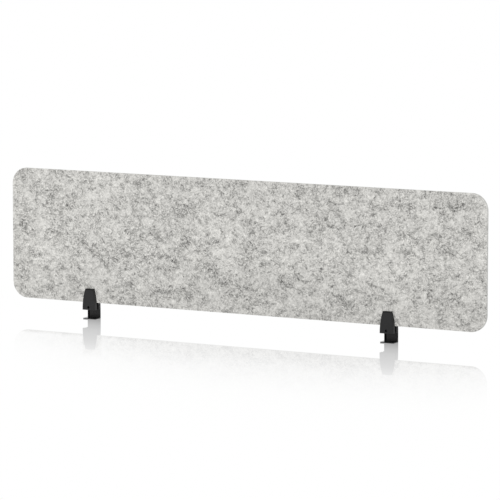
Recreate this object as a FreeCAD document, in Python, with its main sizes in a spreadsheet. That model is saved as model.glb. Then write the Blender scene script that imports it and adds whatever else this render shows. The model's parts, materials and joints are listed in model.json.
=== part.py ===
import FreeCAD, Part
import Sketcher
import math
import os

# Desk privacy panel: one upright felt board held by two equal clamps that grip a desk's edge.
# Row frame: +X along the panel, -Y towards the person at the desk, +Z up.
# Clamp frame: X0 on the clamp's centre line, Y0 on the panel's front face, Z0 on the
# underside of the upper jaw, which is where the desk top touches.
# In names, front is the -Y side, back and rear the +Y side. Millimetres throughout.

V = FreeCAD.Vector
doc = FreeCAD.newDocument("desk_privacy_panel")

DRIVING = [
    # panel
    ("panel_len", 1600.0), ("panel_height", 400.0), ("panel_thk", 9.0),
    ("panel_corner", 50.0), ("panel_edge", 1.2), ("panel_lift", 21.3),
    # where the clamp frame sits in the row frame
    ("left_x", -521.3), ("right_x", 487.6), ("shift_y", -5.235),
    # C shape of the clamp
    ("clamp_w", 43.5), ("arm_top", 64.3), ("front_thk", 14.3), ("back_y", 21.9),
    ("spine_front", 16.45), ("spine_drop", 28.2), ("spine_top", 0.5),
    ("taper_z", 2.0), ("tip_w", 26.4), ("side_round", 1.6),
    ("lean_z", 28.0), ("front_lean", 2.2), ("back_lean", 3.4), ("lean_waste", 5.0),
    # channel for the sliding jaw's stem, and the way for the lock nut in front of it
    ("chan_w", 29.0), ("chan_y0", 16.55), ("chan_y1", 19.75), ("chan_top", 36.0),
    ("chan_open", 0.3), ("nutway_w", 10.6), ("nutway_y0", 12.4), ("nutway_lap", 0.2),
    # adjustable lower jaw, bent from sheet
    ("sheet", 2.5), ("jaw_front", -11.2), ("stem_top", 22.5), ("jaw_travel", 12.0),
    ("jaw_corner", 2.0), ("bend_inside", 1.5), ("bend_outside", 3.5),
    # M5 lock screw through the back of the clamp
    ("lock_z", 17.0), ("lock_dia", 4.9), ("lock_hole", 5.3),
    ("lock_face", 21.0), ("face_w", 13.0), ("face_reach", 7.0),
    ("lock_head_dia", 9.5), ("lock_head_len", 2.75), ("lock_socket_deep", 1.7),
    ("lock_tip_out", 0.1), ("lock_tip_chamfer", 0.6),
    ("washer_dia", 10.0), ("washer_thk", 1.0), ("washer_round", 0.2),
    ("lock_nut_af", 8.0), ("lock_nut_thk", 4.0),
    # M4 pinch bolt along Y
    ("pinch_z", 8.0), ("pinch_dia", 3.9), ("pinch_hole", 4.4), ("pinch_bore_len", 5.0),
    ("recess_dia", 8.0), ("recess_deep", 9.0),
    ("pinch_head_dia", 7.0), ("pinch_head_len", 4.0), ("pinch_len", 20.3),
    ("pinch_socket_deep", 2.2), ("pinch_rim", 0.4), ("pinch_point", 0.5), ("shank_lap", 0.01),
    ("pinch_nut_af", 7.0), ("pinch_nut_thk", 3.2), ("pinch_nut_y", 10.4),
    # sizes shared by both screws and both nuts
    ("socket_af", 3.0), ("nut_mouth", 0.3),
    # two dowels that keep the front arm upright
    ("pin_x", 13.0), ("pin_dia", 3.0), ("pin_y0", -8.4), ("pin_y1", 13.6), ("pin_end_gap", 0.6),
    # packing block under the panel
    ("rest_w", 40.6), ("rest_z0", 1.0), ("rest_chamfer", 0.8),
    # rubber faces
    ("grip_w", 24.0), ("grip_z0", 25.0), ("grip_z1", 54.0), ("grip_thk", 0.8),
    ("grip_corner", 3.0),
    ("desk_pad_w", 35.0), ("desk_pad_y0", -12.6), ("desk_pad_y1", -1.7),
    ("desk_pad_thk", 1.2), ("desk_pad_corner", 1.5),
    # clearances, and how far cuts run past the material
    ("fit_gap", 0.1), ("seat_gap", 0.05), ("contact_gap", 0.02),
    ("cut_lap", 0.5), ("cut_over", 1.0),
]


# ---------------------------------------------------------------------------
# Dimensions: numbers that remember their spreadsheet expression
# ---------------------------------------------------------------------------
def text_of(value):
    """Spreadsheet expression of a Size or a plain number."""
    return value.text if isinstance(value, Size) else repr(float(value))


def joined(value, left, sign, right):
    return Size(value, "(%s %s %s)" % (text_of(left), sign, text_of(right)))


class Size(float):
    """A float whose arithmetic also builds the matching expression."""

    def __new__(cls, value, text):
        size = float.__new__(cls, value)
        size.text = text
        return size

    def __add__(self, other):
        return joined(float(self) + float(other), self, "+", other)

    def __radd__(self, other):
        return joined(float(other) + float(self), other, "+", self)

    def __sub__(self, other):
        return joined(float(self) - float(other), self, "-", other)

    def __rsub__(self, other):
        return joined(float(other) - float(self), other, "-", self)

    def __mul__(self, other):
        return joined(float(self) * float(other), self, "*", other)

    def __rmul__(self, other):
        return joined(float(other) * float(self), other, "*", self)

    def __truediv__(self, other):
        return joined(float(self) / float(other), self, "/", other)

    def __neg__(self):
        return 0 - self


class Dimensions:
    """Holds each dimension as an attribute."""


dim = Dimensions()
sheet = doc.addObject("Spreadsheet::Sheet", "Dimensions")
for row, (alias, number) in enumerate(DRIVING, 1):
    sheet.set("A%d" % row, alias)
    sheet.set("B%d" % row, repr(number))
    sheet.setAlias("B%d" % row, alias)
    setattr(dim, alias, Size(number, "Dimensions." + alias))
doc.recompute()

# Derived from the driving dimensions
dim.shift_z = dim.spine_drop                      # row Z0 is the foot of the spine
dim.stem_w = dim.chan_w - 2 * dim.fit_gap
dim.stem_y0 = dim.chan_y0 + dim.fit_gap
dim.stem_y1 = dim.stem_y0 + dim.sheet
dim.pin_hole = dim.pin_dia + dim.fit_gap
dim.pinch_seat = dim.recess_deep - dim.front_thk  # floor of the bolt's counterbore
dim.lock_nut_y = dim.stem_y0 - dim.lock_nut_thk


def bind(obj, path, value):
    obj.setExpression(path, text_of(value))


# ---------------------------------------------------------------------------
# Sketch geometry
# ---------------------------------------------------------------------------
def distance(sketch, kind, *refs, value):
    """Dimensional constraint bound to the sheet."""
    index = sketch.addConstraint(Sketcher.Constraint(kind, *refs, float(value)))
    bind(sketch, "Constraints[%d]" % index, value)


def locate(sketch, geo, point, u=None, v=None):
    """Fix a point by its distances from the origin."""
    if u is not None:
        distance(sketch, "DistanceX", -1, 1, geo, point, value=u)
    if v is not None:
        distance(sketch, "DistanceY", -1, 1, geo, point, value=v)


def join(sketch, *links):
    """Each link is (curve, end, curve, end); end 1 is a start and 2 a finish."""
    for link in links:
        sketch.addConstraint(Sketcher.Constraint("Coincident", *link))


def align(sketch, kind, geo):
    sketch.addConstraint(Sketcher.Constraint(kind, geo))


def line(u0, v0, u1, v1):
    return Part.LineSegment(V(u0, v0, 0), V(u1, v1, 0))


def arc(u, v, radius, start, end):
    round_curve = Part.Circle(V(u, v, 0), V(0, 0, 1), float(radius))
    return Part.ArcOfCircle(round_curve, start, end)


def polygon(sketch, points):
    count = len(points)
    for i in range(count):
        sketch.addGeometry(line(*points[i], *points[(i + 1) % count]), False)
    for i in range(count):
        join(sketch, (i, 2, (i + 1) % count, 1))
    for i, (u, v) in enumerate(points):
        locate(sketch, i, 1, u, v)


def centred_rect(sketch, width, v0, v1):
    """Rectangle centred on the sketch's second axis."""
    half = width / 2
    polygon(sketch, [(-half, v0), (half, v0), (half, v1), (-half, v1)])


def circle(sketch, u, v, dia):
    geo = sketch.GeometryCount
    sketch.addGeometry(Part.Circle(V(u, v, 0), V(0, 0, 1), float(dia) / 2), False)
    locate(sketch, geo, 3, u, v)
    distance(sketch, "Diameter", geo, value=dia)


def dowel_circles(sketch, dia):
    for u in (dim.pin_x, -dim.pin_x):
        circle(sketch, u, dim.pinch_z, dia)


def hexagon(sketch, v, across_flats):
    """Hexagon on the second axis, with two flats parallel to it."""
    half = across_flats / 2
    corner = across_flats * (1 / math.sqrt(3))
    polygon(sketch, [(half, v - corner / 2), (half, v + corner / 2), (0, v + corner),
                     (-half, v + corner / 2), (-half, v - corner / 2), (0, v - corner)])


def sag_radius(rise, sag):
    """Radius of an arc that leaves its tangent by sag over a run of rise."""
    return (rise * rise + sag * sag) / (2 * sag)


def arm_outline(sketch):
    """Foot with upright sides that bend inwards on one arc to a blunt tip."""
    half, half_tip = dim.clamp_w / 2, dim.tip_w / 2
    low, top = dim.taper_z, dim.arm_top
    radius = sag_radius(top - low, (dim.clamp_w - dim.tip_w) / 2)
    turn = math.asin((top - low) / radius)
    sketch.addGeometry([
        line(-half, 0, half, 0),
        line(half, 0, half, low),
        arc(half - radius, low, radius, 0.0, turn),
        line(half_tip, top, -half_tip, top),
        arc(radius - half, low, radius, math.pi - turn, math.pi),
        line(-half, low, -half, 0),
    ], False)
    join(sketch, *[(i, 2, (i + 1) % 6, 1) for i in range(6)])
    locate(sketch, 0, 1, -half, 0)
    locate(sketch, 1, 1, u=half)
    align(sketch, "Horizontal", 0)
    align(sketch, "Vertical", 1)
    align(sketch, "Vertical", 5)
    locate(sketch, 2, 3, v=low)
    locate(sketch, 4, 3, v=low)
    locate(sketch, 2, 3, u=half - radius)
    locate(sketch, 4, 3, u=radius - half)
    locate(sketch, 3, 1, v=top)
    align(sketch, "Horizontal", 3)


def lean_outline(sketch, face, lean, is_front):
    """Waste in the YZ plane outside a face that leans inwards on one arc."""
    low, top, over = dim.lean_z, dim.arm_top, dim.arm_top + dim.lean_waste
    radius = sag_radius(top - low, lean)
    turn = math.asin((top - low) / radius)
    if is_front:
        inner, outer = face + lean, face - dim.lean_waste
        curve = arc(face + radius, low, radius, math.pi - turn, math.pi)
        low_end, top_end = 2, 1
    else:
        inner, outer = face - lean, face + dim.lean_waste
        curve = arc(face - radius, low, radius, 0.0, turn)
        low_end, top_end = 1, 2
    sketch.addGeometry([
        curve,
        line(inner, top, inner, over),
        line(inner, over, outer, over),
        line(outer, over, outer, low),
        line(outer, low, face, low),
    ], False)
    join(sketch, (0, top_end, 1, 1), (1, 2, 2, 1), (2, 2, 3, 1), (3, 2, 4, 1),
         (4, 2, 0, low_end))
    locate(sketch, 4, 2, face, low)
    locate(sketch, 1, 1, inner, top)
    align(sketch, "Vertical", 1)
    locate(sketch, 1, 2, v=over)
    align(sketch, "Horizontal", 2)
    align(sketch, "Vertical", 3)
    align(sketch, "Horizontal", 4)
    locate(sketch, 3, 1, u=outer)
    locate(sketch, 0, 3, v=low)


# ---------------------------------------------------------------------------
# Edge rules
# ---------------------------------------------------------------------------
def middle(edge):
    return edge.valueAt((edge.FirstParameter + edge.LastParameter) / 2.0)


def near(value, target, tolerance=0.02):
    return abs(value - target) < tolerance


def lies_on(edge, axis, value):
    """The whole edge lies on the plane axis = value."""
    points = [edge.valueAt(edge.FirstParameter), middle(edge), edge.valueAt(edge.LastParameter)]
    return all(near(getattr(point, axis), value) for point in points)


def is_ring(edge, dia):
    return edge.Closed and near(edge.BoundBox.XLength, dia, 0.1)


def is_along(edge, y, z):
    """Long edge along X whose middle is at y and z."""
    point = middle(edge)
    return edge.BoundBox.XLength > 20 and near(point.y, y) and near(point.z, z)


# ---------------------------------------------------------------------------
# Pieces
# ---------------------------------------------------------------------------
pieces = []


def finish(obj, x):
    """Place an object in the row frame and list it for export."""
    bind(obj, "Placement.Base.x", x)
    bind(obj, "Placement.Base.y", dim.shift_y)
    bind(obj, "Placement.Base.z", dim.shift_z)
    pieces.append(obj)


class Piece:
    """A body whose features all carry one name prefix."""

    def __init__(self, name, prefix):
        self.body = doc.addObject("PartDesign::Body", name)
        self.body.Label = name
        self.prefix = prefix

    def add(self, kind, name):
        return self.body.newObject(kind, self.prefix + name)

    def sketch(self, name, plane, level=0):
        """Sketch at a level on the axis normal to the plane.

        XZ has u = X, v = Z and its normal along -Y, so a plain pad grows to -Y.
        YZ has u = Y, v = Z; XY has u = X, v = Y; both normals are positive.
        """
        sketch = self.add("Sketcher::SketchObject", name)
        support = [feature for feature in self.body.Origin.OriginFeatures
                   if feature.Role == plane + "_Plane"][0]
        sketch.AttachmentSupport = [(support, "")]
        sketch.MapMode = "FlatFace"
        bind(sketch, "AttachmentOffset.Base.z", -level if plane == "XZ" else level)
        return sketch

    def extrude(self, kind, name, sketch, length, reverse):
        feature = self.add("PartDesign::" + kind, name)
        feature.Profile = sketch
        feature.Reversed = reverse
        bind(feature, "Length", length)
        doc.recompute()
        return feature

    def pad(self, name, sketch, length, reverse=False):
        self.extrude("Pad", name, sketch, length, reverse)

    def pocket(self, name, sketch, length, reverse=False):
        """Pocket that must remove material; it turns round if it cuts nothing."""
        doc.recompute()
        limit = self.body.Shape.Volume - 1e-6
        feature = self.extrude("Pocket", name, sketch, length, reverse)
        if not self.body.Shape.Volume < limit:
            feature.Reversed = not reverse
            doc.recompute()
        if not self.body.Shape.Volume < limit:
            raise RuntimeError("pocket %s cuts nothing" % feature.Name)

    def dress(self, kind, name, rule, size):
        """Fillet or chamfer on the edges a rule picks."""
        doc.recompute()
        base = self.body.Tip
        names = ["Edge%d" % i for i, edge in enumerate(base.Shape.Edges, 1) if rule(edge)]
        if not names:
            raise RuntimeError("no edges for %s%s" % (self.prefix, name))
        feature = self.add("PartDesign::" + kind, name)
        feature.Base = (base, names)
        size_name = "Radius" if kind == "Fillet" else "Size"
        setattr(feature, size_name, float(size))
        bind(feature, size_name, size)
        doc.recompute()
        failed = "Invalid" in feature.State or "Error" in feature.State
        if failed or feature.Shape.isNull() or not feature.Shape.isValid():
            raise RuntimeError("%s failed" % feature.Name)

    def fillet(self, name, rule, size):
        self.dress("Fillet", name, rule, size)

    def chamfer(self, name, rule, size):
        self.dress("Chamfer", name, rule, size)


def make_panel():
    """One felt board with four round corners."""
    panel = Piece("panel", "panel_")
    outline = panel.sketch("outline", "XZ", dim.panel_thk)
    centred_rect(outline, dim.panel_len, dim.panel_lift, dim.panel_lift + dim.panel_height)
    panel.pad("board", outline, dim.panel_thk)
    panel.fillet("corners",
                 lambda edge: edge.Length < dim.panel_thk + 0.1
                 and near(abs(middle(edge).x), dim.panel_len / 2, 0.1),
                 dim.panel_corner)
    panel.fillet("cut_edges",
                 lambda edge: lies_on(edge, "y", 0.0) or lies_on(edge, "y", dim.panel_thk),
                 dim.panel_edge)
    finish(panel.body, 0)


def cut_lean(piece, face, lean, is_front):
    """Trim the arm's front or back face so that it leans in towards the tip."""
    waste = piece.sketch("lean", "YZ", -dim.clamp_w)
    lean_outline(waste, face, lean, is_front)
    piece.pocket("lean_cut", waste, dim.clamp_w * 2, reverse=True)


def cut_grip_seat(piece, y, reverse):
    seat = piece.sketch("grip_seat", "XZ", y)
    centred_rect(seat, dim.grip_w + 2 * dim.seat_gap,
                 dim.grip_z0 - dim.seat_gap, dim.grip_z1 + dim.seat_gap)
    piece.pocket("grip_seat_cut", seat, dim.grip_thk, reverse)


def make_front_arm(side, x):
    arm = Piece(side + "_front_arm", side + "_fa_")
    outline = arm.sketch("outline", "XZ")
    arm_outline(outline)
    arm.pad("plate", outline, dim.front_thk)
    cut_lean(arm, -dim.front_thk, dim.front_lean, is_front=True)

    def is_outer_side(edge):
        """Edges round the front face, except the one along the foot."""
        point = middle(edge)
        return (point.y < -5.5 and edge.BoundBox.YLength < 5.0
                and point.z > 0.5 and abs(point.x) > 10.0)

    arm.fillet("sides", is_outer_side, dim.side_round)

    # bolt hole with its counterbore, in the middle of the foot
    recess = arm.sketch("recess", "XZ", -dim.front_thk)
    circle(recess, 0, dim.pinch_z, dim.recess_dia)
    arm.pocket("recess_cut", recess, dim.recess_deep)
    hole = arm.sketch("bolt_hole", "XZ", -dim.front_thk)
    circle(hole, 0, dim.pinch_z, dim.pinch_hole)
    arm.pocket("bolt_hole_cut", hole, dim.front_thk)

    # dowel holes, blind from the panel side
    holes = arm.sketch("dowel_holes", "XZ")
    dowel_circles(holes, dim.pin_hole)
    arm.pocket("dowel_cut", holes, dim.pin_end_gap - dim.pin_y0)

    cut_grip_seat(arm, 0, reverse=False)
    seat = arm.sketch("desk_seat", "XY")
    centred_rect(seat, dim.desk_pad_w + 2 * dim.seat_gap,
                 dim.desk_pad_y0 - dim.seat_gap, dim.desk_pad_y1 + dim.seat_gap)
    arm.pocket("desk_seat_cut", seat, dim.desk_pad_thk, reverse=True)
    finish(arm.body, x)


def make_clamp_body(side, x):
    """Rear arm with the spine behind the desk edge."""
    clamp = Piece(side + "_clamp_body", side + "_cb_")
    outline = clamp.sketch("outline", "XZ", dim.back_y)
    arm_outline(outline)
    clamp.pad("upper", outline, dim.back_y - dim.panel_thk)
    spine = clamp.sketch("spine_outline", "XZ", dim.back_y)
    centred_rect(spine, dim.clamp_w, -dim.spine_drop, dim.spine_top)
    clamp.pad("spine", spine, dim.back_y - dim.spine_front)
    cut_lean(clamp, dim.back_y, dim.back_lean, is_front=False)

    def is_outer_side(edge):
        """Edges near the back face, leaving out those where spine and arm meet."""
        point, box = middle(edge), edge.BoundBox
        if point.y <= 17.2 or box.YLength >= 6.0 or abs(point.x) <= 10.0:
            return False
        if lies_on(edge, "z", 0.0) or lies_on(edge, "z", dim.spine_top):
            return False
        # level edges that run along Y at the sides, below the tip
        return not (box.YLength > 2.0 and box.ZLength < 0.2
                    and point.z < 60.0 and abs(point.x) > 20)

    clamp.fillet("sides", is_outer_side, dim.side_round)

    # channel of the sliding stem, open to the front below the jaw
    channel = clamp.sketch("channel", "XY", -dim.spine_drop - dim.cut_over)
    centred_rect(channel, dim.chan_w, dim.chan_y0 - dim.chan_open, dim.chan_y1)
    clamp.pocket("channel_cut", channel, dim.spine_drop + dim.cut_over + dim.chan_top,
                 reverse=True)
    # way for the lock nut, above the jaw's underside
    nutway = clamp.sketch("nutway", "XY", -dim.cut_lap)
    centred_rect(nutway, dim.nutway_w, dim.nutway_y0, dim.chan_y0 + dim.nutway_lap)
    clamp.pocket("nutway_cut", nutway, dim.chan_top + dim.cut_lap, reverse=True)

    # flat face and slot for the lock screw in the back
    outside = dim.back_y + dim.cut_over
    slot_top = dim.lock_z + dim.jaw_travel
    face = clamp.sketch("lock_face_sk", "XZ", outside)
    centred_rect(face, dim.face_w, dim.lock_z - dim.face_reach, slot_top + dim.face_reach)
    clamp.pocket("lock_face_cut", face, outside - dim.lock_face)
    slot = clamp.sketch("lock_slot_sk", "XZ", outside)
    centred_rect(slot, dim.lock_hole, dim.lock_z - dim.lock_hole / 2,
                 slot_top + dim.lock_hole / 2)
    clamp.pocket("lock_slot_cut", slot, outside - dim.chan_y1 + dim.cut_lap)

    # pinch bolt hole, and its nut seat reached from the channel side
    hole = clamp.sketch("bolt_hole", "XZ", dim.panel_thk)
    circle(hole, 0, dim.pinch_z, dim.pinch_hole)
    clamp.pocket("bolt_hole_cut", hole, dim.pinch_bore_len, reverse=True)
    seat_mouth = dim.nutway_y0 + dim.fit_gap
    seat = clamp.sketch("nut_seat", "XZ", seat_mouth)
    hexagon(seat, dim.pinch_z, dim.pinch_nut_af + dim.fit_gap)
    clamp.pocket("nut_seat_cut", seat, seat_mouth - dim.pinch_nut_y)

    holes = clamp.sketch("dowel_holes", "XZ", dim.panel_thk)
    dowel_circles(holes, dim.pin_dia)
    clamp.pocket("dowel_cut", holes, dim.pin_y1 - dim.panel_thk, reverse=True)
    cut_grip_seat(clamp, dim.panel_thk, reverse=True)
    finish(clamp.body, x)


def make_lower_jaw(side, x):
    """Foot plate with a stem bent up behind the desk edge."""
    jaw = Piece(side + "_lower_jaw", side + "_lj_")
    bottom = -dim.spine_drop
    half, half_stem = dim.clamp_w / 2, dim.stem_w / 2
    shoulder = dim.spine_front - dim.fit_gap
    # full width in front of the spine, stem width behind
    plate = jaw.sketch("plate_sk", "XY", bottom)
    polygon(plate, [(-half, dim.jaw_front), (half, dim.jaw_front),
                    (half, shoulder), (half_stem, shoulder),
                    (half_stem, dim.stem_y1), (-half_stem, dim.stem_y1),
                    (-half_stem, shoulder), (-half, shoulder)])
    jaw.pad("plate", plate, dim.sheet)
    stem = jaw.sketch("stem_sk", "XZ", dim.stem_y1)
    centred_rect(stem, dim.stem_w, bottom, dim.stem_top)
    jaw.pad("stem", stem, dim.sheet)

    def is_front_corner(edge):
        box = edge.BoundBox
        return (box.ZLength > 2.0 and box.XLength < 0.01 and box.YLength < 0.01
                and near(middle(edge).y, dim.jaw_front))

    jaw.fillet("corners", is_front_corner, dim.jaw_corner)
    jaw.fillet("bend_in", lambda edge: is_along(edge, dim.stem_y0, bottom + dim.sheet),
               dim.bend_inside)
    jaw.fillet("bend_out", lambda edge: is_along(edge, dim.stem_y1, bottom),
               dim.bend_outside)
    hole = jaw.sketch("screw_hole", "XZ", dim.stem_y1 + dim.cut_lap)
    circle(hole, 0, dim.lock_z, dim.lock_hole)
    jaw.pocket("screw_hole_cut", hole, dim.sheet + 2 * dim.cut_lap)
    finish(jaw.body, x)


def make_rest(side, x):
    """Packing block between the two arms, under the panel."""
    rest = Piece(side + "_panel_rest", side + "_pr_")
    block = rest.sketch("block_sk", "XZ", dim.panel_thk - dim.contact_gap)
    centred_rect(block, dim.rest_w, dim.rest_z0, dim.panel_lift - dim.seat_gap)
    rest.pad("block", block, dim.panel_thk - dim.contact_gap - dim.fit_gap)
    holes = rest.sketch("holes", "XZ", dim.panel_thk + dim.cut_lap)
    circle(holes, 0, dim.pinch_z, dim.pinch_hole)
    dowel_circles(holes, dim.pin_hole)
    rest.pocket("holes_cut", holes, dim.panel_thk + 2 * dim.cut_lap)

    def runs_along_y(edge):
        box = edge.BoundBox
        return box.YLength > 5.0 and box.XLength < 0.01 and box.ZLength < 0.01

    rest.chamfer("edges", runs_along_y, dim.rest_chamfer)
    finish(rest.body, x)


def make_dowels(side, x):
    """Two dowel pins pressed in the clamp body, sliding in the front arm."""
    pins = []
    for letter, pin_x in (("a", -dim.pin_x), ("b", dim.pin_x)):
        pin = doc.addObject("Part::Cylinder", side + "_dowel_" + letter)
        bind(pin, "Radius", dim.pin_dia / 2)
        bind(pin, "Height", dim.pin_y1 - dim.pin_y0)
        # turn the cylinder's axis from +Z to +Y
        pin.Placement = FreeCAD.Placement(V(0, 0, 0), FreeCAD.Rotation(V(1, 0, 0), -90))
        bind(pin, "Placement.Base.x", pin_x)
        bind(pin, "Placement.Base.y", dim.pin_y0)
        bind(pin, "Placement.Base.z", dim.pinch_z)
        pins.append(pin)
    doc.recompute()
    pair = doc.addObject("Part::Compound", side + "_guide_dowels")
    pair.Links = pins
    pair.Label = side + "_guide_dowels"
    finish(pair, x)


def make_pinch_bolt(side, x):
    """Socket cap screw with its head in the front arm's counterbore."""
    bolt = Piece(side + "_pinch_bolt", side + "_pb_")
    head_back = dim.pinch_seat - dim.contact_gap
    head = bolt.sketch("head_sk", "XZ", head_back)
    circle(head, 0, dim.pinch_z, dim.pinch_head_dia)
    bolt.pad("head", head, dim.pinch_head_len)
    # the shank starts just inside the head
    shank = bolt.sketch("shank_sk", "XZ", head_back - dim.shank_lap + dim.pinch_len)
    circle(shank, 0, dim.pinch_z, dim.pinch_dia)
    bolt.pad("shank", shank, dim.pinch_len)
    socket = bolt.sketch("socket_sk", "XZ", head_back - dim.pinch_head_len)
    hexagon(socket, dim.pinch_z, dim.socket_af)
    bolt.pocket("socket_cut", socket, dim.pinch_socket_deep, reverse=True)
    bolt.chamfer("rim",
                 lambda edge: is_ring(edge, dim.pinch_head_dia)
                 and middle(edge).y < dim.pinch_seat - 1.0,
                 dim.pinch_rim)
    bolt.chamfer("point",
                 lambda edge: is_ring(edge, dim.pinch_dia) and middle(edge).y > 10.0,
                 dim.pinch_point)
    finish(bolt.body, x)


def make_nut(name, x, y, z, thk, across_flats, screw_dia):
    """Hex nut along Y with its front face at y."""
    nut = Piece(name, name + "_")
    bore = screw_dia + dim.fit_gap
    outline = nut.sketch("sk", "XZ", y + thk)
    hexagon(outline, z, across_flats)
    circle(outline, 0, z, bore)
    nut.pad("pad", outline, thk)
    nut.chamfer("mouth", lambda edge: is_ring(edge, bore), dim.nut_mouth)
    finish(nut.body, x)


def make_lock_screw(side, x):
    """Button head screw with a hexagon socket, driven from behind."""
    screw = Piece(side + "_lock_screw", side + "_ls_")
    head_front = dim.lock_face + dim.washer_thk + dim.contact_gap
    head_back = head_front + dim.lock_head_len
    tip = dim.lock_nut_y - dim.lock_tip_out
    axis_z = dim.lock_z
    shank_z = axis_z + dim.lock_dia / 2
    rim_z = axis_z + dim.lock_head_dia / 2
    # half profile (Y, Z); its first side is the screw's axis
    half = screw.sketch("half_sk", "YZ")
    polygon(half, [
        (tip, axis_z), (head_back, axis_z),
        # domed head
        (head_back, axis_z + 2.3), (head_back - 0.45, axis_z + 3.5),
        (head_back - 1.2, axis_z + 4.35), (head_back - 2.1, rim_z), (head_front, rim_z),
        # shank with a chamfered tip
        (head_front, shank_z), (tip + dim.lock_tip_chamfer, shank_z),
        (tip, shank_z - dim.lock_tip_chamfer),
    ])
    turned = screw.add("PartDesign::Revolution", "turned")
    turned.Profile = half
    turned.ReferenceAxis = (half, ["Edge1"])
    turned.Angle = 360.0
    doc.recompute()
    socket = screw.sketch("socket_sk", "XZ", head_back)
    hexagon(socket, axis_z, dim.socket_af)
    screw.pocket("socket_cut", socket, dim.lock_socket_deep)
    finish(screw.body, x)


def make_washer(side, x):
    """Washer midway in the slack between the lock face and the screw head."""
    washer = Piece(side + "_lock_washer", side + "_lw_")
    ring = washer.sketch("ring_sk", "XZ",
                         dim.lock_face + dim.washer_thk + dim.contact_gap / 2)
    circle(ring, 0, dim.lock_z, dim.washer_dia)
    circle(ring, 0, dim.lock_z, dim.lock_hole)
    washer.pad("ring", ring, dim.washer_thk)
    washer.fillet("edge", lambda edge: is_ring(edge, dim.washer_dia), dim.washer_round)
    finish(washer.body, x)


def make_pad(name, x, plane, level, width, v0, v1, thk, corner, reverse=False):
    """Thin rubber pad with round corners."""
    rubber = Piece(name, name + "_")
    outline = rubber.sketch("sk", plane, level)
    centred_rect(outline, width, v0, v1)
    rubber.pad("pad", outline, thk, reverse)
    across = "YLength" if plane == "XZ" else "ZLength"
    rubber.fillet("corners",
                  lambda edge: near(getattr(edge.BoundBox, across), thk, 0.01)
                  and edge.Length < thk + 0.01,
                  corner)
    finish(rubber.body, x)


def make_clamp(side, x):
    make_clamp_body(side, x)
    make_front_arm(side, x)
    make_lower_jaw(side, x)
    make_rest(side, x)
    make_dowels(side, x)
    make_pinch_bolt(side, x)
    make_nut(side + "_pinch_nut", x, dim.pinch_nut_y, dim.pinch_z,
             dim.pinch_nut_thk, dim.pinch_nut_af, dim.pinch_dia)
    make_lock_screw(side, x)
    make_washer(side, x)
    make_nut(side + "_lock_nut", x, dim.lock_nut_y - dim.contact_gap, dim.lock_z,
             dim.lock_nut_thk, dim.lock_nut_af, dim.lock_dia)
    for name, y, reverse in (("_front_grip_pad", 0, False),
                             ("_rear_grip_pad", dim.panel_thk, True)):
        make_pad(side + name, x, "XZ", y, dim.grip_w, dim.grip_z0, dim.grip_z1,
                 dim.grip_thk, dim.grip_corner, reverse)
    make_pad(side + "_desk_pad", x, "XY", 0, dim.desk_pad_w, dim.desk_pad_y0,
             dim.desk_pad_y1, dim.desk_pad_thk, dim.desk_pad_corner)


make_panel()
make_clamp("left", dim.left_x)
make_clamp("right", dim.right_x)
doc.recompute()

# ---------------------------------------------------------------------------
# Nothing is written unless every object recomputed and every piece is sound
# ---------------------------------------------------------------------------
for obj in doc.Objects:
    if "Invalid" in obj.State or "Error" in obj.State:
        raise RuntimeError("%s is %s" % (obj.Name, obj.State))
for piece in pieces:
    if piece.Shape.isNull() or not piece.Shape.isValid() or piece.Shape.Volume <= 0:
        raise RuntimeError("bad shape: " + piece.Label)

os.makedirs("parts", exist_ok=True)
for piece in pieces:
    piece.Shape.exportStep("parts/%s.step" % piece.Label)
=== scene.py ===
"""A felt board standing on edge, held at its lower edge by two black clamps.

Metres, +Z up. The board's length runs along X and its thickness along Y, with its
front facing -Y. The left clamp is the one at lower X.
"""
import json
import math

import bpy
import numpy as np
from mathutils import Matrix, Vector, noise


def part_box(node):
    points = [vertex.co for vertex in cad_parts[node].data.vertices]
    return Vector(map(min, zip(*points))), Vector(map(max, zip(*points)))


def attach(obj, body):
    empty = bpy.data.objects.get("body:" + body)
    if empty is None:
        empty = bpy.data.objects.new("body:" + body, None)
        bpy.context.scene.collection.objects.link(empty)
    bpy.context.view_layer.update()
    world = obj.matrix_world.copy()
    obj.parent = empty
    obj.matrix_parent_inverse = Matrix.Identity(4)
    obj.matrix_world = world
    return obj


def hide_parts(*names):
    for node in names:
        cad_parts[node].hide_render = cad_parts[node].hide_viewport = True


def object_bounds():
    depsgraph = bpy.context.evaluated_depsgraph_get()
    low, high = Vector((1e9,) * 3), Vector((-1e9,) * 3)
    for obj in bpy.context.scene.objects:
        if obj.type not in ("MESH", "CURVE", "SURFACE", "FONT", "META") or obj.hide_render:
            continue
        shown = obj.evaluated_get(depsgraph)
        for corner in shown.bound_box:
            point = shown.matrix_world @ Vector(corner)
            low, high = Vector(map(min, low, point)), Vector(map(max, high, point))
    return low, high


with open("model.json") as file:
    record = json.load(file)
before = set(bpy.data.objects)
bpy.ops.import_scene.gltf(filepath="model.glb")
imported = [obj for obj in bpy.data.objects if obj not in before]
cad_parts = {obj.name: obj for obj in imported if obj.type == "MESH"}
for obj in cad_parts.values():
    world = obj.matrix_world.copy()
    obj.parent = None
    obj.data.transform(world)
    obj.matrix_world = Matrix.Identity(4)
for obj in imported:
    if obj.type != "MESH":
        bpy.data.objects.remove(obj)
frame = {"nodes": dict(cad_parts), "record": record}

cad_lo, cad_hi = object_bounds()
scene = bpy.context.scene

MM = 0.001
QUARTER_TURN = math.pi / 2
X_AXIS, Y_AXIS, Z_AXIS = (1.0, 0.0, 0.0), (0.0, 1.0, 0.0), (0.0, 0.0, 1.0)
SIDES = ("left", "right")

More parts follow.
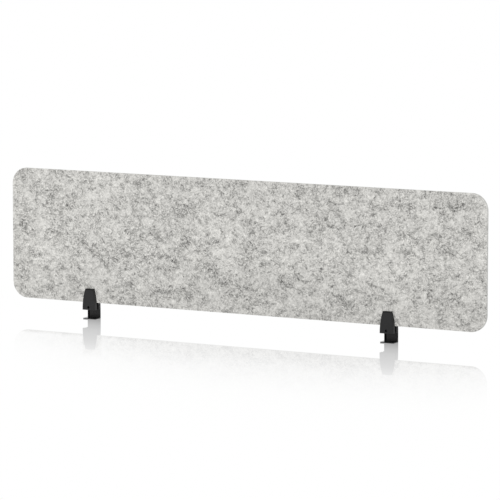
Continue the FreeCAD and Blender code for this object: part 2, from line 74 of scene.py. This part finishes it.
PANEL_LO, PANEL_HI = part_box("panel")
ARMS = [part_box(side + "_front_arm") for side in SIDES]
ARM_LO, ARM_HI = ARMS[0]
CLAMP_X = [(lo.x + hi.x) / 2 for lo, hi in ARMS]
JAW_LO, JAW_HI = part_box("left_lower_jaw")
BOLT_Z = sum(corner.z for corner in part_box("left_pinch_bolt")) / 2


# ---------------------------------------------------------------------------
# shader node helpers
# ---------------------------------------------------------------------------
MIDDLE = (0.3, 0.7)  # the span that holds most values of a noise


class Net:
    """Empties the node tree of a material or world and fills it in short calls."""

    def __init__(self, owner):
        owner.use_nodes = True
        self.tree = owner.node_tree
        self.tree.nodes.clear()

    def node(self, kind, inputs=None, **props):
        """Add a node; inputs maps socket names or numbers to values or sockets."""
        made = self.tree.nodes.new(kind)
        for key, value in props.items():
            setattr(made, key, value)
        for key, value in (inputs or {}).items():
            socket = made.inputs[key]
            if isinstance(value, bpy.types.NodeSocket):
                self.tree.links.new(value, socket)
            elif isinstance(value, tuple) and socket.type == "RGBA":
                socket.default_value = (*value, 1.0)
            else:
                socket.default_value = value
        return made

    def math(self, operation, first, second=0.0, *third, clamp=False):
        inputs = dict(enumerate((first, second, *third)))
        made = self.node("ShaderNodeMath", inputs, operation=operation, use_clamp=clamp)
        return made.outputs[0]

    def plus(self, first, second):
        return self.math("ADD", first, second)

    def minus(self, first, second):
        return self.math("SUBTRACT", first, second)

    def times(self, first, *factors):
        for factor in factors:
            first = self.math("MULTIPLY", first, factor)
        return first

    def times_plus(self, value, factor, added):
        return self.math("MULTIPLY_ADD", value, factor, added)

    def largest(self, first, second):
        return self.math("MAXIMUM", first, second)

    def smallest(self, first, second):
        return self.math("MINIMUM", first, second)

    def above(self, value, limit):
        return self.math("GREATER_THAN", value, limit)

    def below(self, value, limit):
        return self.math("LESS_THAN", value, limit)

    def hypot(self, first, second):
        return self.math("SQRT", self.times_plus(first, first, self.times(second, second)))

    def distance(self, value, centre):
        return self.math("ABSOLUTE", self.minus(value, centre))

    def choose(self, share, chosen, other):
        return self.plus(self.times(share, chosen), self.times(self.minus(1.0, share), other))

    def vmath(self, operation, first, second=(0, 0, 0)):
        inputs = {0: first, "Scale" if operation == "SCALE" else 1: second}
        made = self.node("ShaderNodeVectorMath", inputs, operation=operation)
        return made.outputs["Value" if operation in ("DOT_PRODUCT", "LENGTH") else 0]

    def shift(self, vector, offset):
        return self.vmath("ADD", vector, offset)

    def stretch(self, vector, factors):
        return self.vmath("MULTIPLY", vector, factors)

    def dot(self, first, second):
        return self.vmath("DOT_PRODUCT", first, second)

    def axes(self, vector):
        return self.node("ShaderNodeSeparateXYZ", {0: vector}).outputs

    def vector(self, *parts):
        return self.node("ShaderNodeCombineXYZ", dict(enumerate(parts))).outputs[0]

    def noise(self, vector, scale, detail=2.0, rough=0.5, distort=0.0, output="Fac"):
        inputs = {"Vector": vector, "Scale": scale, "Detail": detail,
                  "Roughness": rough, "Distortion": distort}
        return self.node("ShaderNodeTexNoise", inputs).outputs[output]

    def ramp(self, value, stops):
        """Stops are (position, grey or colour)."""
        made = self.node("ShaderNodeValToRGB", {0: value})
        elements = made.color_ramp.elements
        elements.remove(elements[-1])
        for i, (position, shade) in enumerate(stops):
            element = elements.new(position) if i else elements[0]
            element.position = position
            colour = shade if isinstance(shade, tuple) else (shade,) * 3
            element.color = (*colour, 1.0)
        return made.outputs[0]

    def remap(self, value, span, to=(0.0, 1.0), kind="LINEAR"):
        inputs = dict(enumerate((value, *span, *to)))
        return self.node("ShaderNodeMapRange", inputs, interpolation_type=kind).outputs[0]

    def mix(self, share, first, second, blend="MIX"):
        inputs = {0: share, 6: first, 7: second}
        made = self.node("ShaderNodeMix", inputs, data_type="RGBA", blend_type=blend)
        return made.outputs[2]

    def bump(self, height, strength, depth, **normal):
        inputs = {"Height": height, "Strength": strength, "Distance": depth, **normal}
        return self.node("ShaderNodeBump", inputs).outputs[0]

    def surface(self, inputs):
        bsdf = self.node("ShaderNodeBsdfPrincipled", inputs)
        self.node("ShaderNodeOutputMaterial", {0: bsdf.outputs[0]})


def new_material(name):
    """Return a material, its net and the object coordinates."""
    made = bpy.data.materials.new(name)
    net = Net(made)
    return made, net, net.node("ShaderNodeTexCoord").outputs["Object"]


def scaled(colour, factor, lift=0.0):
    return tuple(part * factor + lift for part in colour)


# ---------------------------------------------------------------------------
# felt: light grey marl of pale and dark staple fibres
# ---------------------------------------------------------------------------
# turn from X in radians, frequency across and along the streak per metre, seed
FIBRES = [(0.35, 700.0, 95.0, 1.0), (1.45, 640.0, 105.0, 2.0), (2.50, 760.0, 88.0, 3.0)]
STAPLES = [(0.30, 250.0, 58.0, 4.0), (-0.62, 265.0, 62.0, 5.0), (1.25, 280.0, 90.0, 6.0)]


def streaks(net, pos, turn, across, along, seed, bend=0.020, detail=1.5):
    """Short streaks lying in the XZ plane, bent by a slow noise."""
    cosine, sine = math.cos(turn), math.sin(turn)
    warp = net.noise(net.shift(pos, (seed, 0.0, 0.0)), scale=55.0, detail=1.5, output="Color")
    warp = net.vmath("SCALE", net.vmath("SUBTRACT", warp, (0.5, 0.5, 0.5)), bend)
    bent = net.shift(pos, warp)
    place = net.vector(
        net.times(net.dot(bent, (cosine, 0.0, sine)), along),
        net.times(net.dot(bent, (-sine, 0.0, cosine)), across),
        net.times_plus(net.dot(bent, Y_AXIS), across * 0.6, seed * 3.1))
    return net.noise(place, scale=1.0, detail=detail, rough=0.55)


def add_layers(net, total, layers):
    """Add noises about their middle value; layers are (noise, weight)."""
    for layer, weight in layers:
        total = net.times_plus(net.minus(layer, 0.5), weight, total)
    return total


def felt_material():
    made, net, pos = new_material("felt_marl")
    shifted = net.shift(pos, (3.17, 1.9, 5.3))
    # a little longer along X than along Z
    wide = net.stretch(shifted, (0.80, 1.0, 1.0))

    # from slow drift over 150 mm and more, through carded clouds, to clumps of 4 to 12 mm
    drift = net.noise(net.shift(wide, (4.4, 0.0, 1.0)), scale=6.0, detail=1.0)
    cloud = net.noise(wide, scale=19.0, rough=0.6, distort=0.55)
    patch = net.noise(net.shift(wide, (9.1, 0.0, 2.0)), scale=46.0, rough=0.6, distort=0.9)
    clump = net.noise(net.shift(wide, (2.2, 4.0, 7.0)), scale=120.0, rough=0.7, distort=1.1)
    grit = net.noise(net.shift(shifted, (1.0, 8.0, 3.0)), scale=300.0, rough=0.75, distort=0.6)
    fibres = [streaks(net, pos, *row) for row in FIBRES]

    # staple in broken strokes; the lowest of three directions wins
    staples = [streaks(net, pos, *row, bend=0.024, detail=2.0) for row in STAPLES]
    lowest = net.smallest(net.smallest(staples[0], staples[1]), staples[2])
    fine = net.times(net.minus(lowest, 0.43), 1.37)
    fine = add_layers(net, fine, [(grit, 0.46)] + [(fibre, 0.13) for fibre in fibres])
    # the strokes gather where the clouds are thin and leave smooth pale tufts between
    gather = net.times_plus(cloud, 0.5, net.times(patch, 0.5))
    marl = net.times(fine, net.remap(gather, (0.38, 0.60), to=(1.36, 0.62)))
    marl = add_layers(net, marl, [(cloud, 0.34), (patch, 0.56), (clump, 0.45), (drift, 0.14)])
    # mean value 0.778, the pale side compressed more than the dark side
    value = net.times_plus(net.largest(marl, 0.0), 0.59, 0.778)
    value = net.times_plus(net.smallest(marl, 0.0), 0.97, value)
    linear = net.math("POWER", value, 2.2)
    tint = net.vector(*(net.times(linear, share) for share in (1.004, 0.991, 0.948)))

    # cut edges: the layers of the board show as fine lines along it
    normal = net.node("ShaderNodeNewGeometry").outputs["True Normal"]
    facing = net.math("ABSOLUTE", net.dot(normal, Y_AXIS))
    edge = net.remap(facing, (0.75, 0.35))
    axes = net.axes(pos)
    layer_scale = (60.0, 1400.0, 60.0)
    place = net.vector(*(net.times(axis, scale) for axis, scale in zip(axes, layer_scale)))
    layers = net.noise(place, scale=1.0, rough=0.6)
    layer_colour = net.ramp(layers, [(0.30, (0.36, 0.36, 0.345)), (0.70, (0.66, 0.655, 0.63))])
    colour = net.mix(net.times(edge, 0.6), tint, layer_colour)

    # painted light: the felt is brightened where the ambient occlusion finds shade, which
    # lifts the shade beside the arms
    occlusion = net.node("ShaderNodeAmbientOcclusion", {"Distance": 0.030}, samples=8)
    lift = net.times_plus(net.minus(1.0, occlusion.outputs["AO"]), 0.80, 1.0)
    # painted shade: the felt is darker towards the bottom and the top of its height than along
    # the middle, and paler towards the left
    painted_height_shade = net.ramp(net.remap(axes[2], (PANEL_LO.z, PANEL_HI.z)), [
        (0.0, 0.940), (0.24, 0.948), (0.42, 0.995), (0.62, 1.0), (0.85, 0.985), (1.0, 0.975)])
    painted_side_shade = net.remap(axes[0], (-0.40, 0.10), to=(1.026, 0.982), kind="SMOOTHSTEP")
    colour = net.mix(1.0, colour, net.times(lift, painted_height_shade, painted_side_shade), blend="MULTIPLY")

    height = net.times_plus(grit, 0.30, net.times(lowest, 0.45))
    height = net.times_plus(clump, 0.45, height)
    for fibre in fibres:
        height = net.times_plus(fibre, 0.22, height)
    height = net.times_plus(net.times(edge, layers), 0.5, height)
    net.surface({
        "Base Color": colour,
        "Roughness": net.remap(clump, MIDDLE, to=(0.90, 1.0)),
        "Specular IOR Level": 0.12,
        "Sheen Weight": 0.10,
        "Sheen Roughness": 0.55,
        "Sheen Tint": (0.95, 0.95, 0.93),
        "Normal": net.bump(height, strength=0.55, depth=1.1 * MM)})
    return made


# ---------------------------------------------------------------------------
# blacks: powder coat, sheet, nylon, rubber; and the steels
# ---------------------------------------------------------------------------
def painted_shade_places(net, pos):
    """Mask of painted shade on the coat: in the bolt's recess, along the arm's top edge, on
    the spine below the arm and most of all on the spine's left rail."""
    x, y, z = net.axes(pos)
    left, right = CLAMP_X
    on_right = net.above(x, (left + right) / 2)
    across = net.minus(x, net.times_plus(on_right, right - left, left))
    radius = net.hypot(across, net.minus(z, BOLT_Z))
    # painted shade inside the bolt's recess
    recess = net.times(net.below(radius, 4.12 * MM),
                       net.above(y, ARM_LO.y + 0.3 * MM),
                       net.below(y, ARM_HI.y - 1.0 * MM))
    # painted shade along the arm's top edge
    top_span = (ARM_HI.z - 4.2 * MM, ARM_HI.z - 2.2 * MM)
    top = net.remap(z, top_span, to=(0.0, 0.50))

    normal = net.node("ShaderNodeNewGeometry").outputs["True Normal"]
    steep = net.math("ABSOLUTE", net.dot(normal, Z_AXIS))
    upright = net.remap(steep, (0.5, 0.8), to=(1.0, 0.0))
    # painted shade on the spine below the arm, deeper towards the bottom
    spine_top = ARM_LO.z - 0.1 * MM
    spine = net.times(net.below(z, spine_top),
                      net.remap(z, (14 * MM, 2 * MM), to=(0.07, 0.36)))
    # painted shade on the spine's left rail
    rail = net.times(net.remap(across, (-14.6 * MM, -14.2 * MM), to=(1.0, 0.0)),
                     net.below(z, spine_top),
                     net.above(z, JAW_LO.z + 3.2 * MM),
                     net.below(y, JAW_HI.y - 1.9 * MM))
    low = net.times(net.largest(spine, net.times(rail, 0.92)), upright)
    return net.largest(net.largest(recess, top), low)


def coat_material(name, base, rough, grain, edge_radius, seed, polish=None):
    """Satin powder coat with fine orange peel and cloudy gloss.

    grain is the peel's frequency per metre; polish is the roughness of faces that
    look up."""
    edge_wear = 0.0  # share of pale colour on worn edges
    specular = 0.40
    made, net, pos = new_material(name)
    place = net.shift(pos, (seed, seed * 0.7, 0.0))
    peel = net.noise(place, scale=grain)
    cloud = net.noise(place, scale=60.0, detail=3.0, rough=0.6)
    speck = net.noise(place, scale=grain * 2.3, detail=1.0)
    bevel = net.node("ShaderNodeBevel", {"Radius": edge_radius}, samples=6).outputs[0]
    geometry = net.node("ShaderNodeNewGeometry").outputs
    flatness = net.dot(bevel, geometry["Normal"])
    edge = net.times(net.remap(flatness, (0.985, 0.80)),
                     net.remap(cloud, (0.35, 0.65), to=(0.3, 1.0)), edge_wear)

    colour = net.mix(net.remap(cloud, MIDDLE), scaled(base, 0.82), scaled(base, 1.18))
    specks = net.remap(speck, (0.60, 0.72), to=(0.0, 0.25))
    colour = net.mix(specks, colour, scaled(base, 2.2))
    colour = net.mix(edge, colour, scaled(base, 4.0, lift=0.01))
    # painted shade: near-black colour and no gloss where the mask is set
    painted_shade = painted_shade_places(net, pos)
    colour = net.mix(painted_shade, colour, (0.0015, 0.0015, 0.0016))

    roughness = net.plus(net.remap(cloud, MIDDLE, to=(rough - 0.05, rough + 0.07)),
                         net.remap(peel, MIDDLE, to=(-0.03, 0.03)))
    if polish is not None:
        upward = net.remap(net.dot(geometry["True Normal"], Z_AXIS), (0.7, 0.9))
        roughness = net.times_plus(upward, net.minus(polish, roughness), roughness)
    net.surface({
        "Base Color": colour,
        "Roughness": roughness,
        "Specular IOR Level": net.times(net.minus(1.0, painted_shade), specular),
        "Normal": net.bump(peel, strength=0.22, depth=0.06 * MM, Normal=bevel)})
    return made


def rubber_material():
    """Matt rubber with a cloudy film of dust."""
    made, net, pos = new_material("rubber_black")
    fine = net.noise(pos, scale=2600.0, rough=0.6)
    dust = net.noise(pos, scale=90.0, detail=4.0, rough=0.6)
    net.surface({
        "Base Color": net.mix(net.remap(dust, (0.45, 0.75)),
                              (0.010, 0.010, 0.010), (0.030, 0.029, 0.027)),
        "Roughness": net.remap(dust, MIDDLE, to=(0.72, 0.90)),
        "Specular IOR Level": 0.30,
        "Normal": net.bump(fine, strength=0.35, depth=0.08 * MM)})
    return made


def nylon_painted_shade_material():
    """Moulded nylon with faint flow marks, near black and almost without gloss: painted shade
    for the slot it sits in.
    """
    made, net, pos = new_material("nylon_black_painted_shade")
    grain = net.noise(pos, scale=1900.0, rough=0.6)
    flow = net.noise(net.stretch(pos, (40.0, 120.0, 200.0)), scale=1.0, detail=3.0)
    net.surface({
        "Base Color": net.mix(flow, (0.0020, 0.0020, 0.0021), (0.0040, 0.0040, 0.0042)),
        "Roughness": net.remap(flow, MIDDLE, to=(0.60, 0.74)),
        "Specular IOR Level": 0.02,
        "Normal": net.bump(grain, strength=0.4, depth=0.05 * MM)})
    return made


def steel_material(name, tint, rough, metallic):
    """Steel with fine bands along Y, the screw axis, and patchy plating."""
    made, net, pos = new_material(name)
    bands = net.noise(net.stretch(pos, (300.0, 9000.0, 300.0)), scale=1.0, rough=0.6)
    patches = net.noise(pos, scale=420.0, detail=3.0, rough=0.6)
    net.surface({
        "Metallic": metallic,
        "Base Color": net.mix(net.remap(patches, (0.35, 0.65)),
                              scaled(tint, 0.8), scaled(tint, 1.15)),
        "Roughness": net.plus(net.remap(patches, MIDDLE, to=(rough - 0.06, rough + 0.10)),
                              net.remap(bands, MIDDLE, to=(-0.05, 0.05))),
        "Normal": net.bump(bands, strength=0.25, depth=0.04 * MM)})
    return made


MATERIALS = {
    "felt": felt_material(),
    "black_coat": coat_material(
        "coat_black_casting", base=(0.0085, 0.0085, 0.0092), rough=0.50,
        grain=1500.0, edge_radius=0.45 * MM, seed=0.0),
    "black_sheet": coat_material(
        "coat_black_sheet", base=(0.0080, 0.0080, 0.0086), rough=0.46,
        grain=1900.0, edge_radius=0.25 * MM, seed=3.0, polish=0.12),
    "black_nylon": nylon_painted_shade_material(),
    "black_rubber": rubber_material(),
    "black_steel": steel_material(
        "steel_black_oxide", tint=(0.060, 0.060, 0.064), rough=0.36, metallic=0.85),
    "bright_steel": steel_material(
        "steel_zinc", tint=(0.62, 0.62, 0.63), rough=0.30, metallic=1.0),
}
slot_of = {part["node"]: part["material_slot"] for part in frame["record"]["subparts"]}
for name, solid in frame["nodes"].items():
    solid.data.materials.clear()
    solid.data.materials.append(MATERIALS[slot_of[name]])


# ---------------------------------------------------------------------------
# rounded slabs: the felt board and the rubber faces
# ---------------------------------------------------------------------------
def level(across, *_):
    """No relief."""
    return np.zeros_like(across)


def slab(size, corner, rounding, columns, straight_rows, corner_rows,
         front, back=level, edge=level, side_steps=1, round_steps=3):
    """Closed board of size (length, height, thickness), centred in length and height.

    Its front is at depth 0 and its back at the thickness. corner is the corner radius
    in plan and rounding the radius of the edges. front, back and edge move points along
    their own normals. Returns vertices (across, depth, up) and faces."""
    length, height, thick = size
    inner = corner - rounding
    half_length, half_height = length / 2 - rounding, height / 2 - rounding

    def corner_row(start, angle):
        return (start + inner * math.sin(angle),
                half_length - inner + inner * math.cos(angle), angle)

    # each row: height, half width, angle of the outward normal
    turns = [QUARTER_TURN * i / corner_rows for i in range(corner_rows + 1)]
    low = -half_height + inner
    rise = 2 * half_height - 2 * inner
    rows = [corner_row(low, turn - QUARTER_TURN) for turn in turns]
    rows += [(low + rise * i / straight_rows, half_length, 0.0)
             for i in range(1, straight_rows)]
    rows += [corner_row(half_height - inner, turn) for turn in turns]
    row_up, half_width, angles = np.array(rows).T
    last_row, per_row = len(rows) - 1, columns + 1
    across = half_width[:, None] * np.linspace(-1, 1, per_row)[None, :]
    up = np.repeat(row_up[:, None], per_row, 1)
    front_out, back_out = front(across, up), back(across, up)
    verts = [np.stack([across, depth, up], -1).reshape(-1, 3)
             for depth in (-front_out, thick + back_out)]
    back_start = across.size
    faces = []
    for i in range(last_row):
        for j in range(columns):
            here = i * per_row + j
            quad = (here, here + 1, here + per_row + 1, here + per_row)
            faces.append(quad)
            faces.append(tuple(back_start + quad[q] for q in (0, 3, 2, 1)))

    # boundary, anticlockwise seen from the front: row, column, outward normal
    loop = [(0, j, 0.0, -1.0) for j in range(per_row)]
    loop += [(i, columns, math.cos(angles[i]), math.sin(angles[i]))
             for i in range(1, last_row)]
    loop += [(last_row, j, 0.0, 1.0) for j in range(columns, -1, -1)]
    loop += [(i, 0, -math.cos(angles[i]), math.sin(angles[i]))
             for i in range(last_row - 1, 0, -1)]
    row_ids, column_ids, normal_across, normal_up = np.array(loop).T
    rim = (row_ids.astype(int), column_ids.astype(int))
    rim_across, rim_up = across[rim], up[rim]
    rim_ids = (rim[0] * per_row + rim[1]).tolist()
    count = len(rim_ids)

    # rings from front to back: distance outward, depth, share of the edge relief
    arc = [(math.sin(turn), 1 - math.cos(turn))
           for turn in (QUARTER_TURN * i / round_steps for i in range(1, round_steps + 1))]
    steps = [(rounding * sine, rounding * drop, sine) for sine, drop in arc]
    steps += [(rounding, rounding + (thick - 2 * rounding) * i / (side_steps + 1), 1.0)
              for i in range(1, side_steps + 1)]
    steps += [(rounding * sine, thick - rounding * drop, sine) for sine, drop in reversed(arc)]
    rings = [rim_ids]
    for i, (outward, depth, share) in enumerate(steps):
        through = depth / thick
        out = outward + edge(rim_across, rim_up, depth) * share
        blend = front_out[rim] * (1 - through) - back_out[rim] * through
        verts.append(np.stack([rim_across + normal_across * out,
                               depth - blend * (1 - share),
                               rim_up + normal_up * out], -1))
        start = 2 * back_start + i * count
        rings.append(list(range(start, start + count)))
    rings.append([back_start + index for index in rim_ids])
    for ring, after in zip(rings[:-1], rings[1:]):
        for i in range(count):
            j = (i + 1) % count
            faces.append((ring[j], ring[i], after[i], after[j]))
    return np.concatenate(verts), faces


def mesh_object(name, verts, faces, material, smooth):
    mesh = bpy.data.meshes.new(name)
    mesh.from_pydata([tuple(vert) for vert in verts], [], faces)
    mesh.validate()
    mesh.update()
    made = bpy.data.objects.new(name, mesh)
    scene.collection.objects.link(made)
    mesh.materials.append(material)
    mesh.polygons.foreach_set("use_smooth", [smooth] * len(mesh.polygons))
    return made


def add_piece(name, verts, faces, slot, node, body):
    """Smooth mesh that stands in for one CAD solid and moves with a body."""
    made = mesh_object(name, verts, faces, MATERIALS[slot], smooth=True)
    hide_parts(node)
    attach(made, body)


def relief(across, up, octaves, seed):
    """Noise height at each place; octaves are (size, height)."""
    total = np.zeros(across.size)
    for size, height in octaves:
        for i, (x, z) in enumerate(zip(across.ravel(), up.ravel())):
            place = Vector((x / size + seed, z / size - seed, seed * 1.7))
            total[i] += height * noise.noise(place)
    return total.reshape(across.shape)


def make_felt():
    face_octaves = [(0.060, 0.07 * MM), (0.020, 0.08 * MM), (0.0095, 0.10 * MM)]
    edge_octaves = [(0.016, 0.10 * MM), (0.006, 0.08 * MM)]
    face_sink, edge_sink = 0.12 * MM, 0.06 * MM  # keep the relief inside the board's size
    held_half_width, calm_fade = 0.022, 0.012
    trim = 0.3 * MM
    size = PANEL_HI - PANEL_LO
    centre = (PANEL_LO + PANEL_HI) / 2

    def calm(across, up):
        """The board is pressed flat where the clamps hold it."""
        share = np.ones_like(across)
        for clamp_x, (_, arm_hi) in zip(CLAMP_X, ARMS):
            beside = np.abs(across - (clamp_x - centre.x)) - held_half_width
            over = up - (arm_hi.z - centre.z)
            away = np.maximum(beside, 0.0) + np.maximum(over, 0.0)
            share = np.minimum(share, np.clip(away / calm_fade, 0.0, 1.0))
        return share

    def face(seed):
        return lambda across, up: (
            (relief(across, up, face_octaves, seed) - face_sink) * calm(across, up))

    def edge(across, up, depth):
        return relief(across, up + depth * 3.0, edge_octaves, 5.0 + depth * 90.0) - edge_sink

    verts, faces = slab((size.x - trim, size.z - trim, size.y), corner=0.050,
                        rounding=1.3 * MM, columns=384, straight_rows=72, corner_rows=18,
                        front=face(11.0), back=face(37.0), edge=edge,
                        side_steps=3, round_steps=4)
    verts = verts + np.array([centre.x, PANEL_LO.y, centre.z])
    add_piece("felt_board", verts, faces, "felt", "panel", "panel")


def make_pad(node, body, facing, pitch, depth):
    """Rubber face with rounded ribs; facing is the side they are on."""
    lo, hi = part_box(node)
    size, centre = hi - lo, (lo + hi) / 2
    length = size.x
    height, thick = (size.y, size.z) if facing == "down" else (size.z, size.y)
    rib_count = max(2, int(round(height / pitch)))
    end_margin = 1.2 * MM  # width of the plain ends, and of the fade into them

    def ribs(across, up):
        phase = (up + height / 2) / height * rib_count
        crest = 0.5 - 0.5 * np.cos(2 * math.pi * phase)
        fade = np.clip((length / 2 - end_margin - np.abs(across)) / end_margin, 0.0, 1.0)
        fade = fade * fade * (3 - 2 * fade)
        return -depth * (1 - crest ** 0.6) * fade

    verts, faces = slab((length, height, thick), corner=2.0 * MM,
                        rounding=min(0.30 * MM, thick * 0.3),
                        columns=max(24, int(length / 0.0011)),
                        straight_rows=rib_count * 8, corner_rows=6, front=ribs)
    across, inward, up = verts.T
    if facing == "down":
        placed = (across + centre.x, -up + centre.y, lo.z + inward)
    elif facing == "front":
        placed = (across + centre.x, lo.y + inward, up + centre.z)
    else:
        placed = (-across + centre.x, hi.y - inward, up + centre.z)
    add_piece(node + "_ribbed", np.stack(placed, -1), faces, "black_rubber", node, body)


make_felt()
for side in SIDES:
    arm, clamp = side + "_arm", side + "_clamp"
    make_pad(side + "_desk_pad", arm, "down", pitch=2.0 * MM, depth=0.35 * MM)
    make_pad(side + "_front_grip_pad", arm, "back", pitch=2.4 * MM, depth=0.25 * MM)
    make_pad(side + "_rear_grip_pad", clamp, "front", pitch=2.4 * MM, depth=0.25 * MM)


# ---------------------------------------------------------------------------
# floor, light and camera
# ---------------------------------------------------------------------------
# mirror strength by distance from the footprint, as a share of FLOOR_REACH
FLOOR_REACH = 1.8
FLOOR_MIRROR = [
    (0.0, 0.64), (0.031, 0.545), (0.067, 0.45), (0.117, 0.375), (0.19, 0.315),
    (0.233, 0.272), (0.296, 0.172), (0.356, 0.106), (0.417, 0.066), (0.477, 0.035),
    (0.537, 0.015), (0.62, 0.007), (0.78, 0.003), (0.95, 0.0)]
AWAY_SPAN, AWAY_DIM = (0.1, 0.9), (1.0, 0.5)  # glossy light halves to the back right


def away_from_light(net, x, y):
    """How far a direction points to the back right."""
    return net.times_plus(x, 0.8, net.times(y, 0.6))


def floor_material():
    """White glow with a mirror that fades away from the product."""
    made = bpy.data.materials.new("floor_white")
    net = Net(made)
    geometry = net.node("ShaderNodeNewGeometry").outputs
    position, incoming = geometry["Position"], geometry["Incoming"]
    x, y, _ = net.axes(position)
    # distance from a footprint that widens with distance in Y
    off_y = net.distance(y, (cad_lo.y + cad_hi.y) / 2)
    reach = net.times_plus(off_y, 0.6, cad_hi.x + 0.02)
    off_x = net.largest(net.minus(net.math("ABSOLUTE", x), reach), 0.0)
    share = net.math("MULTIPLY", net.hypot(off_x, off_y), 1 / FLOOR_REACH, clamp=True)
    mirror = net.ramp(share, FLOOR_MIRROR)

    # weaker towards the two ends of the board, judged where the line of sight,
    # seen from above, crosses the plane y = 0
    slope = net.math("DIVIDE", net.dot(incoming, X_AXIS), net.dot(incoming, Y_AXIS))
    slope = net.smallest(net.largest(slope, -2.0), 2.0)
    along = net.minus(x, net.times(y, slope))
    ends = net.remap(net.distance(along, 0.10), (0.27, 0.88))
    # but not where the clamps themselves are mirrored
    near = net.smallest(*(net.distance(along, clamp_x) for clamp_x in CLAMP_X))
    clear = net.largest(net.remap(near, (0.031, 0.036)), net.remap(share, (0.33, 0.37)))
    loss = net.times(net.remap(share, (0.165, 0.190)),
                     net.remap(share, (0.235, 0.55), to=(0.80, 0.97)), clear)
    mirror = net.times(mirror, net.minus(1.0, net.times(ends, loss)))
    # and weaker when it is looked down on
    steep = net.math("ABSOLUTE", net.dot(incoming, Z_AXIS))
    mirror = net.times(mirror, net.remap(steep, (0.18, 0.60), to=(1.0, 0.15)))

    # blurred reflections see a dimmer floor to the back right
    rays = net.node("ShaderNodeLightPath").outputs
    gloss = net.times(rays["Is Glossy Ray"], net.minus(1.0, rays["Is Singular Ray"]))
    length = net.plus(net.vmath("LENGTH", position), 0.001)
    away = net.math("DIVIDE", away_from_light(net, x, y), length)
    dimmed = net.times(gloss, net.remap(away, AWAY_SPAN, to=AWAY_DIM))
    strength = net.plus(net.minus(1.0, gloss), dimmed)
    white = (1.0, 1.0, 1.0)
    glow = net.node("ShaderNodeEmission", {"Color": white, "Strength": strength})
    glossy = net.node("ShaderNodeBsdfGlossy", {"Color": white, "Roughness": 0.0})
    shaders = {0: mirror, 1: glow.outputs[0], 2: glossy.outputs[0]}
    mixed = net.node("ShaderNodeMixShader", shaders)
    net.node("ShaderNodeOutputMaterial", {0: mixed.outputs[0]})
    return made


def make_floor():
    half = 60.0
    z = cad_lo.z - 0.2 * MM
    verts = [(-half, -half, z), (half, -half, z), (half, half, z), (-half, half, z)]
    mesh_object("floor", verts, [(0, 1, 2, 3)], floor_material(), smooth=False)


def make_world():
    """White to the camera and in the mirror, softer as a light."""
    world = bpy.data.worlds.new("studio")
    scene.world = world
    net = Net(world)
    rays = net.node("ShaderNodeLightPath").outputs
    sharp = net.times(rays["Is Glossy Ray"], rays["Is Singular Ray"])
    seen = net.largest(rays["Is Camera Ray"], sharp)
    gloss = net.times(rays["Is Glossy Ray"], net.minus(1.0, sharp))
    x, y, z = net.axes(net.node("ShaderNodeTexCoord").outputs["Generated"])
    diffuse = net.remap(z, (-0.2, 1.0), to=(0.80, 0.98))
    reflected = net.times(net.remap(away_from_light(net, x, y), AWAY_SPAN, to=AWAY_DIM),
                          net.remap(z, (0.3, 0.9), to=(1.0, 0.5)))
    strength = net.choose(seen, 1.0, net.choose(gloss, reflected, diffuse))
    sky = net.node("ShaderNodeBackground", {"Color": (1.0, 1.0, 1.0), "Strength": strength})
    net.node("ShaderNodeOutputWorld", {0: sky.outputs[0]})


def place_facing(name, data, location, direction):
    made = bpy.data.objects.new(name, data)
    scene.collection.objects.link(made)
    made.location = location
    made.rotation_mode = "QUATERNION"
    made.rotation_quaternion = direction.to_track_quat("-Z", "Y")
    return made


def area(name, location, target, size, power):
    light = bpy.data.lights.new(name, "AREA")
    light.shape = "RECTANGLE"
    light.size, light.size_y = size
    light.energy = power
    made = place_facing(name, light, location, Vector(target) - Vector(location))
    made.visible_camera = False
    made.visible_glossy = False


def make_camera():
    """Long lens from the front right, looking slightly down."""
    yaw, pitch = math.radians(28.8227), math.radians(7.0945)
    distance = 10.32681
    forward = Vector((-math.sin(yaw) * math.cos(pitch),
                      math.cos(yaw) * math.cos(pitch), -math.sin(pitch)))
    lo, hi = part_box("panel")
    target = Vector(((lo.x + hi.x) / 2 + 0.02985, lo.y, lo.z + 0.19376))
    camera = bpy.data.cameras.new("camera")
    camera.sensor_width = 36.0
    camera.lens = 251.7624
    camera.clip_start, camera.clip_end = 0.1, 200.0
    scene.camera = place_facing("camera", camera, target - forward * distance, forward)


make_floor()
make_world()
area("key", location=(0.45, -3.75, 1.25), target=(0.0, 0.0, 0.25), size=(2.6, 1.6), power=10.2)
area("top", location=(0.3, 0.4, 2.6), target=(0.0, 0.0, 0.2), size=(3.0, 1.2), power=6.0)
make_camera()
scene.view_settings.view_transform = "Standard"
scene.view_settings.look = "None"
scene.view_settings.exposure = 0.0
scene.view_settings.gamma = 1.0
